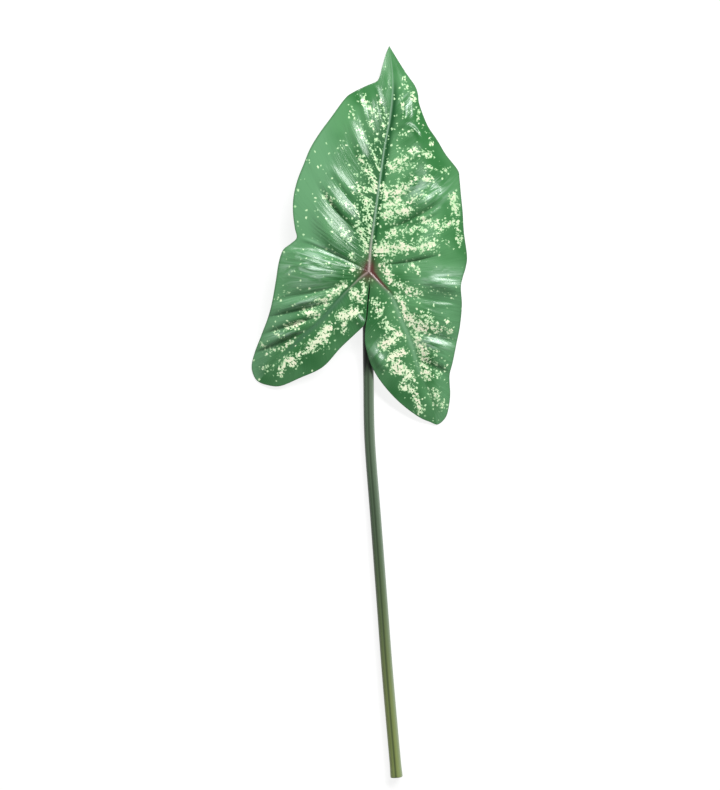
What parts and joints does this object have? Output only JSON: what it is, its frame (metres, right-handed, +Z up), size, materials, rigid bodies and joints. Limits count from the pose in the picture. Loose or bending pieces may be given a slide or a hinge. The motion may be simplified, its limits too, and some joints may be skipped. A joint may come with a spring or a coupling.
{
  "type": "syngonium leaf",
  "caption": "Arrow-shaped, quilted leaf blade with cream flecks and a deep slit between its lobes, on a long, slim cut stalk that lies along the surface.",
  "frame": {"origin": "middle of the leaf's length and width, at the surface that it lies on", "axes": "+Y along the leaf towards the blade's tip, +Z up out of the blade's upper face"},
  "size_m": [0.176, 0.6004, 0.027],
  "materials": {
    "blade": "satin green with cream flecks",
    "stalk": "satin grey-green to olive"
  },
  "bodies": {
    "root": {"leaf_blade": "blade", "stalk": "stalk"}
  },
  "joints": []
}
